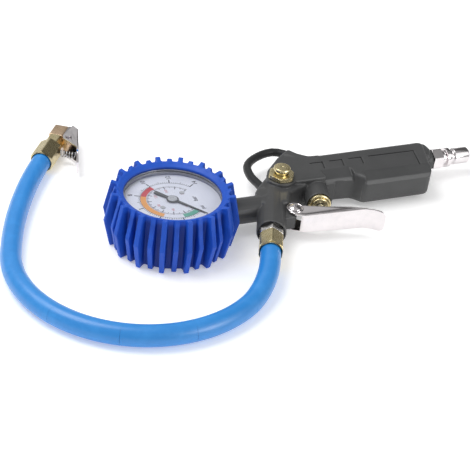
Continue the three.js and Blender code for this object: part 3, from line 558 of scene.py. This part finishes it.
DIAL_AXIS = upright(0, 0)
CASE_INSIDE = CASE_R - 1.2
CASE_BACK = 2.7
CASE_FLOOR = 4
lathe("case_cup", [
    (0, CASE_BACK), (CASE_R - 1, CASE_BACK), (CASE_R, CASE_BACK + 1), (CASE_R, CASE_TOP),
    (CASE_INSIDE, CASE_TOP), (CASE_INSIDE, CASE_FLOOR), (0, CASE_FLOOR),
], CASE, "gun", DIAL_AXIS, segments=96, replaces=["gauge_case"], slot="case")
LENS_Z = CASE_TOP + GAP
lathe("lens_disc", [(0, LENS_Z), (CASE_R - 0.2, LENS_Z), (CASE_R - 0.2, LENS_Z + 1), (0, LENS_Z + 1)],
      LENS_GLASS, "gun", DIAL_AXIS, ease=0.2, segments=96, replaces=["gauge_lens"], slot="lens")
DIAL_BORE = 1.6
DIAL_BACK = DIAL_Z - 0.5
lathe("dial_plate", [
    (DIAL_BORE, DIAL_BACK), (DIAL_R, DIAL_BACK), (DIAL_R, DIAL_Z), (DIAL_BORE, DIAL_Z),
    (DIAL_BORE, DIAL_Z - 0.3),
], DIAL, "gun", DIAL_AXIS, ease=0.1, segments=96, replaces=["gauge_dial"], slot="dial")


def plates(shapes, low, high):
    """Flat plates with the given outlines, from one height to another."""
    verts, faces = [], []
    for shape in shapes:
        count, first = len(shape), len(verts)
        for z in (low, high):
            verts += [Vector((p[0], p[1], z)) for p in shape]
        faces.append([first + i for i in range(count)][::-1])
        faces.append([first + count + i for i in range(count)])
        for i in range(count):
            j = (i + 1) % count
            faces.append([first + i, first + j, first + count + j, first + count + i])
    return verts, faces


def printed(name, shapes, material):
    """Ink on the dial: flat plates a few hundredths of a millimetre thick."""
    verts, faces = plates(shapes, DIAL_Z + 0.01, DIAL_Z + 0.05)
    return made(name, verts, faces, material, "gun", slot="dial")


def tick(angle, r0, r1, width):
    """Outline of a radial line."""
    side = polar(width / 2, angle + 90)
    a, b = polar(r0, angle), polar(r1, angle)
    return [a - side, b - side, b + side, a + side]


BAND_STEP = 3  # degrees between the points of a band


def sector_band(r0, r1, start, end):
    """Outline of a band between two radii and two directions."""
    count = max(2, round(abs(end - start) / BAND_STEP))
    angles = [start + (end - start) * i / count for i in range(count + 1)]
    return [polar(r1, a) for a in angles] + [polar(r0, a) for a in reversed(angles)]


SWEEP = 270
MAIN_STEPS = 7  # numbered steps round the outer scale
MINOR_STEPS = 10
INNER_STEPS = 100
OUTER_BASE = 20.2  # radius of the outer scale's base line
INNER_BASE = 16.4
OUTER_TICKS = [(4.0, 0.7), (2.2, 0.35), (1.4, 0.25)]  # length and width at tenths, at fives, elsewhere
INNER_TICKS = [(3.2, 0.5), (2.0, 0.35), (1.3, 0.22)]
ARCS = {"red": (5, 4, RED), "orange": (4, 1.9, ORANGE), "green": (0.9, 0, GREEN)}  # start and end step


def main_angle(step):
    """Direction of a numbered step of the outer scale."""
    return ZERO_ANGLE - SWEEP * step / MAIN_STEPS


def tick_size(number, sizes):
    """Length and width of a tick, by its place in the scale."""
    if number % 10 == 0:
        return sizes[0]
    if number % 5 == 0:
        return sizes[1]
    return sizes[2]


def scale_ticks():
    """The outer scale's base line, then the ticks of both scales."""
    ticks = [sector_band(OUTER_BASE, OUTER_BASE + 0.2, main_angle(MAIN_STEPS), main_angle(0))]
    for i in range(MAIN_STEPS * MINOR_STEPS + 1):
        length, width = tick_size(i, OUTER_TICKS)
        ticks.append(tick(main_angle(i / MINOR_STEPS), OUTER_BASE, OUTER_BASE + length, width))
    for i in range(INNER_STEPS + 1):
        length, width = tick_size(i, INNER_TICKS)
        ticks.append(tick(ZERO_ANGLE - SWEEP * i / INNER_STEPS, INNER_BASE - length, INNER_BASE, width))
    return ticks


printed("dial_ticks", scale_ticks(), INK)
for name, (start, end, ink) in ARCS.items():
    band = sector_band(INNER_BASE + 0.2, OUTER_BASE - 0.1, main_angle(start), main_angle(end))
    printed(f"dial_arc_{name}", [band], ink)


def dial_text(name, text, radius, angle, size, material):
    """A printed number or unit, upright for a reader who looks along +X."""
    data = bpy.data.curves.new(name, "FONT")
    data.body = text
    data.size = size * MM
    data.align_x = "CENTER"
    data.align_y = "CENTER"
    data.extrude = 0.02 * MM
    data.offset = 0.012 * size * MM
    data.resolution_u = 3
    source = placed(name + "_text", data)
    mesh = applied(source)
    bpy.data.objects.remove(source)
    place = polar(radius, angle) + Vector((0, 0, DIAL_Z + 0.04))
    mesh.transform(Matrix.Translation(place * MM) @ Matrix.Rotation(math.radians(90), 4, "Z"))
    return finished(name, mesh, material, "gun", slot="dial")


NUMBER_RADIUS = 26.8
INNER_NUMBER_RADIUS = 10.8
for step in range(MAIN_STEPS + 1):
    dial_text(f"dial_number_{step}", str(2 * step), NUMBER_RADIUS, main_angle(step), 4.2, INK)
for step in range(0, 11, 2):
    angle = ZERO_ANGLE - SWEEP * step / 10
    dial_text(f"dial_inner_{step}", str(20 * step), INNER_NUMBER_RADIUS, angle, 2.6, PINK_INK)
dial_text("dial_unit_outer", "bar", 14.5, -6, 4.2, INK)
dial_text("dial_unit_inner", "psi", 19.8, -37, 3.6, INK)

# ---- pointer ----
blade = [
    (-13.6, -1.2), (-12.9, -1.6), (-2.6, -1.0), (0, -1.1), (12, -0.65), (26, -0.15),
    (26, 0.15), (12, 0.65), (0, 1.1), (-2.6, 1.0), (-12.9, 1.6), (-13.6, 1.2),
]
made("pointer_blade", *plates([blade], POINTER_Z, POINTER_Z + 0.45), POINTER, "needle",
     Matrix.Rotation(math.radians(ZERO_ANGLE), 4, "Z"), replaces=["pointer"], slot="pointer")
lathe("pointer_hub", [
    (0, POINTER_Z + 0.3), (3.1, POINTER_Z + 0.3), (3.1, POINTER_Z + 0.9), (2.3, POINTER_Z + 1.2),
    (0.9, POINTER_Z + 1.2), (0.7, POINTER_Z + 0.95), (0, POINTER_Z + 0.95),
], HUB, "needle", DIAL_AXIS, ease=0.15, slot="pointer")
lathe("pointer_hub_ring", [
    (3.3, POINTER_Z + 0.05), (3.9, POINTER_Z + 0.05), (3.9, POINTER_Z + 0.6), (3.3, POINTER_Z + 0.6),
    (3.3, POINTER_Z + 0.3),
], POINTER, "needle", DIAL_AXIS, ease=0.1, slot="pointer")

# ---- casting and loop ----
engrave(softened("casting_skin", "body_casting", CAST, "gun", voxel=0.42, rounds=4, keep=0.4, slot="casting"))
softened("loop_skin", "hanging_loop", LOOP, "gun", voxel=0.3, rounds=8, keep=0.4, slot="loop")

# ---- brass and plated fittings ----
outlet = aim(**OUTLET)
nut("adaptor_nut", 14.5, -RECESS, 5, 5, NICKEL, "gun", outlet, replaces=["hose_adaptor"], slot="nickel")
bell = [
    (7.3, FERRULE_END - 1.3), (7.9, FERRULE_END - 0.6), (7.9, FERRULE_END), (7.5, FERRULE_END),
    (7.4, FERRULE_END - 2.5), (HOSE_R + GAP, FERRULE_END - 3.5),
]
nut("ferrule_gun", 14.6, 5.3, FERRULE_END - 1.8, HOSE_R + GAP, BRASS, "gun", outlet,
    nose=bell, replaces=["gun_ferrule"], slot="brass")

trigger = aim(**TRIGGER)
lathe("gland_trigger", [
    (2.9, -6), (6, -6), (6, -GLAND_RECESS), (7.7, -GLAND_RECESS), (7.7, 1), (7, 1.6), (6.3, 1.6), (6.3, 1.2),
    (5.9, 1.2), (5.9, 2.4), (5.4, 2.9), (2.9, 2.9),
], BRASS, "gun", trigger, ease=0.2, replaces=["trigger_gland"], slot="brass")

bleed = upright(*BLEED)
nut("gland_bleed", 16, HANDLE_TOP + GAP, 28.2, 4.7, BRASS, "gun", bleed,
    replaces=["bleed_gland"], slot="brass")
lathe("button_bleed", [
    (0, 15), (1.6, 15), (1.6, 27.4), (4.3, 27.4), (4.3, 30.3), (5.4, 30.3), (5.7, 30.7), (5.7, 32.2),
    (5.1, 33), (0.7, 33.2), (0.4, 32.8), (0, 32.8),
], BRASS, "bleed_plunger", bleed, replaces=["bleed_button"], slot="brass")

inlet = aim(**INLET)
plug_nose = [
    (5.2, 9.5), (5.2, 12.6), (7.1, 13), (7.1, 16.2), (6, 16.8), (4.7, 17.4), (4.7, 19.2),
    (6, 20.2), (6, 31.4), (5.2, 32.6), (3.6, 32.6),
]
nut("plug_inlet", 14, 1.3, 9.4, 3.6, CHROME, "gun", inlet, nose=plug_nose,
    replaces=["inlet_plug"], slot="chrome")

# ---- hose: one skin for each flexing point, from the middle of a length to the middle of the next ----
HOSE_LENGTH = sum(length for length, _ in HOSE_BENDS)
PITCH = (HOSE_LENGTH + 2 * HOSE_TUCK) / HOSE_PIECES


def smoothstep(value, low, high):
    """0 below low, 1 above high, and a smooth rise between."""
    t = min(1, max(0, (value - low) / (high - low)))
    return t * t * (3 - 2 * t)


def hose_point(length):
    """Point and heading of the hose at a length from the gun ferrule's mouth."""
    heading = math.radians(OUTLET["turn"])
    x = OUTLET["x"] + FERRULE_END * math.cos(heading)
    y = OUTLET["y"] + FERRULE_END * math.sin(heading)
    left = min(length, HOSE_LENGTH)
    if length < 0:
        x += length * math.cos(heading)
        y += length * math.sin(heading)
    for whole, radius in HOSE_BENDS:
        part = min(max(left, 0), whole)
        turned = heading - part / radius
        x += radius * (math.sin(heading) - math.sin(turned))
        y += radius * (math.cos(turned) - math.cos(heading))
        heading = turned
        left -= part
    beyond = max(0, length - HOSE_LENGTH)
    x += beyond * math.cos(heading)
    y += beyond * math.sin(heading)
    z = MID + (HOSE_LOW - MID) * smoothstep(length, 0, HOSE_DROP)
    z += (CHUCK_MID - HOSE_LOW) * smoothstep(length, HOSE_LENGTH - CHUCK_RISE, HOSE_LENGTH)
    return Vector((x, y, z)), math.degrees(heading)


BEND_HALF = 14  # half a length round a flexing point; the hose points found with it are not used
for k in range(1, HOSE_PIECES):
    joint_at = -HOSE_TUCK + k * PITCH
    start = -HOSE_TUCK if k == 1 else joint_at - PITCH / 2
    end = HOSE_LENGTH + HOSE_TUCK if k == HOSE_PIECES - 1 else joint_at + PITCH / 2
    steps = round((end - start) / 2)
    line = [hose_point(start + (end - start) * i / steps)[0] for i in range(steps + 1)]
    stands_for = [f"hose_{k}"] + ([f"hose_{HOSE_PIECES}"] if k == HOSE_PIECES - 1 else [])
    skin = made(f"hose_skin_{k}", *tube(line, HOSE_R, 40), HOSE, None,
                replaces=stands_for, slot="hose", sharp=50)
    hose_point(joint_at - BEND_HALF)[0] * MM
    hose_point(joint_at + BEND_HALF)[0] * MM
    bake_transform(skin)

# ---- chuck ----
chuck_origin, chuck_turn = hose_point(HOSE_LENGTH)
chuck = aim(chuck_origin.x, chuck_origin.y, chuck_turn, CHUCK_MID)
nut("ferrule_chuck", 14.6, GAP, CHUCK_FERRULE, HOSE_R + GAP, BRASS, "chuck", chuck, mouth=0.6,
    replaces=["chuck_ferrule"], slot="brass")
nut("collar_chuck", 11.6, CHUCK_FERRULE + GAP, CHUCK_START - GAP, 3, BRASS, "chuck", chuck, turn=30,
    replaces=["chuck_adaptor"], slot="brass")
bevelled("block_chuck", "chuck_body", PINK_BRASS, "chuck", width=0.3, slot="brass")
shade_inside_faces(bevelled("clip_plate", "chuck_clip", CHROME, "clip", width=0.25, slot="chrome"))


# ---- springs ----
COIL_STEPS = 24  # points in one turn of a spring


def spring(name, radius, wire, length, turns, place, body):
    """Coil about the place's Z from its origin, the end that stays."""
    steps = COIL_STEPS * turns
    run = length - 2 * wire
    angle = 360 / COIL_STEPS
    points = [polar(radius, angle * i) + Vector((0, 0, wire + run * i / steps)) for i in range(steps + 1)]
    verts, faces = tube(points, wire, 10)
    coil = made(name + "_coil", verts, faces, STEEL, body, place, replaces=[name], slot="steel", sharp=60)
    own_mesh(coil)


POPPET_BACK = -13  # places on the trigger valve's axis
CHAMBER_END = -39.7
BLEED_SEAT = 19.1  # height of the bleed spring's foot
CLIP_SEAT = (0, 8.6, 17)  # the clip spring's foot on the chuck
spring("trigger_spring", radius=3.9, wire=0.5, length=POPPET_BACK - CHAMBER_END, turns=8,
       place=trigger @ Matrix.Translation((0, 0, CHAMBER_END)),
       body="gun")
spring("bleed_spring", radius=3.3, wire=0.4, length=8, turns=5,
       place=bleed @ Matrix.Translation((0, 0, BLEED_SEAT)),
       body="gun")
spring("clip_spring", radius=2.2, wire=0.4, length=10.8, turns=5,
       place=chuck @ Matrix.Translation(CLIP_SEAT) @ Matrix.Rotation(math.radians(-90), 4, "X"),
       body="chuck")

# ---- lever ----
shade_inside_faces(bevelled("lever_plate", "trigger_lever", CHROME, "lever", width=0.25, slot="chrome"))

PIN_LINE = upright(*PIVOT, MID)
lathe("pin_lever", [
    (0, -9), (2, -9), (2, 6.95), (4.3, 6.95), (4.3, 7.3), (3.7, 7.9), (2.4, 8.5), (1, 8.8), (0, 8.85),
], CHROME, "lever", PIN_LINE, replaces=["trigger_pin"], slot="chrome")
lathe("eye_rim", [(4.9, 6.7), (5.5, 6.7), (5.5, 7.1), (5.2, 7.35), (4.9, 7.1), (4.9, 6.9)],
      CHROME, "lever", PIN_LINE, ease=0.1, slot="chrome")

# ---- CAD pieces that keep their shape get these finishes ----
FINISHES = {
    CHROME: ["clip_pin"],
    STEEL: ["trigger_pin_clip", "trigger_stem", "gauge_bezel", "movement_link", "pinion", "hairspring"],
    HUB: ["dial_screw_1", "dial_screw_2"],
    BRASS: ["gauge_socket", "bourdon_tube", "bourdon_tip", "movement_back_plate", "movement_front_plate",
            "sector_gear", "chuck_core_pin"],
    BLACK: ["inlet_seal", "gauge_thread_seal", "trigger_poppet_seal", "bleed_seal", "chuck_seal"],
}
for finish, nodes in FINISHES.items():
    for node in nodes:
        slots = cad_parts[node].data.materials
        slots.clear()
        slots.append(finish)


# ---- camera, floor and light ----
VIEW_AZIMUTH = math.radians(-25.5)
VIEW_ELEVATION = math.radians(33.87)
VIEW_ROLL = math.radians(6.53)
VIEW_DISTANCE = 680.9 * MM
VIEW_TARGET = Vector((29.7, -34.2, 20.0)) * MM
LENS = 84.26  # focal length and sensor width, in the camera's own millimetres
SENSOR = 36
FLOOR_REACH = 4.0
FLOOR_DROP = 0.0002  # keeps the floor's face out of the faces that the tool rests on


def add_camera():
    """Looks at the tool from its front, above and a little to the left, with the camera rolled."""
    back = Vector((
        math.sin(VIEW_AZIMUTH) * math.cos(VIEW_ELEVATION),
        -math.cos(VIEW_AZIMUTH) * math.cos(VIEW_ELEVATION),
        math.sin(VIEW_ELEVATION),
    ))
    right = Vector((math.cos(VIEW_AZIMUTH), math.sin(VIEW_AZIMUTH), 0))
    up = back.cross(right)
    rolled_right = right * math.cos(VIEW_ROLL) + up * math.sin(VIEW_ROLL)
    rolled_up = up * math.cos(VIEW_ROLL) - right * math.sin(VIEW_ROLL)
    data = bpy.data.cameras.new("camera")
    data.lens = LENS
    data.sensor_width = SENSOR
    data.clip_start = 0.01
    camera = placed("camera", data)
    camera.matrix_world = Matrix.Translation(VIEW_TARGET + back * VIEW_DISTANCE) @ Matrix(
        (rolled_right, rolled_up, back)
    ).transposed().to_4x4()
    bpy.context.scene.camera = camera


def area_light(name, place, size, power, target=(0.05, 0, 0)):
    """Round soft light, in metres and watts."""
    data = bpy.data.lights.new(name, "AREA")
    data.shape = "DISK"
    data.size = size
    data.energy = power
    light = placed(name, data)
    light.location = place
    light.rotation_euler = (Vector(target) - Vector(place)).to_track_quat("-Z", "Y").to_euler()
    return light


def add_floor():
    """Plain white floor with a little light of its own, so that it fades into the background."""
    nodes = Nodes("floor")
    nodes.set(
        Base_Color=nodes.mix(nodes.noise(8), rgb(0.93, 0.93, 0.93), rgb(0.95, 0.95, 0.95)),
        Roughness=0.7,
        Normal=nodes.bump(nodes.noise(700), 0.02, 0.2),
        Emission_Color=rgb(1, 1, 1),
        Emission_Strength=0.3,
    )
    mesh = bpy.data.meshes.new("floor")
    corners = [(FLOOR_REACH * x, FLOOR_REACH * y, 0) for x, y in [(-1, -1), (1, -1), (1, 1), (-1, 1)]]
    mesh.from_pydata(corners, [], [(0, 1, 2, 3)])
    mesh.materials.append(nodes.owner)
    floor = placed("floor", mesh)
    floor.location.z = -FLOOR_DROP


def light_room():
    """Even white light; mirrors also see a dark backdrop with a lit gap, and dim patches."""
    nodes = Nodes("studio", world=True)
    turned = nodes.add("ShaderNodeVectorRotate", {"Vector": nodes.place, "Angle": -VIEW_AZIMUTH},
                       rotation_type="Z_AXIS").outputs["Vector"]
    axes = nodes.add("ShaderNodeSeparateXYZ", {"Vector": turned})
    right, away, up = axes.outputs["X"], axes.outputs["Y"], axes.outputs["Z"]
    behind = nodes.math("MULTIPLY", nodes.ramp(away, 0, 0.25, 0, 1), nodes.ramp(up, 0.12, 0.3, 0, 1))
    below_top = nodes.math("MULTIPLY", nodes.ramp(up, 0.8, 0.95, 1, 0), nodes.ramp(right, 0.012, 0.03, 0, 1))
    gap = nodes.math("MULTIPLY", nodes.ramp(right, 0.07, 0.1, 0, 1), nodes.ramp(right, 0.125, 0.14, 1, 0))
    outside_gap = nodes.math("SUBTRACT", 1.0, gap)
    backdrop = nodes.math("MULTIPLY", nodes.math("MULTIPLY", behind, below_top), outside_gap)
    patches = nodes.ramp(nodes.noise(2.2, 1), 0.36, 0.52, 0.5, 0)
    dark = nodes.math("MAXIMUM", nodes.math("MULTIPLY", backdrop, 0.8), patches)
    seen = nodes.math("MULTIPLY", dark, nodes.add("ShaderNodeLightPath").outputs["Is Glossy Ray"])
    nodes.set(Color=nodes.mix(seen, rgb(1, 1, 1), rgb(0.02, 0.018, 0.018)))
    nodes.set(Strength=0.52)
    bpy.context.scene.world = nodes.owner
    area_light("key", (-0.35, 0.25, 0.9), 0.7, 6)
    area_light("fill", (0.7, -0.6, 0.7), 0.8, 1.5)
    sheen = area_light("sheen", (0.45, -0.68, 0.32), 0.45, 3, target=(0.165, 0, 0.02))
    sheen.visible_diffuse = False


add_camera()
add_floor()
light_room()
bpy.context.scene.view_settings.view_transform = "Standard"
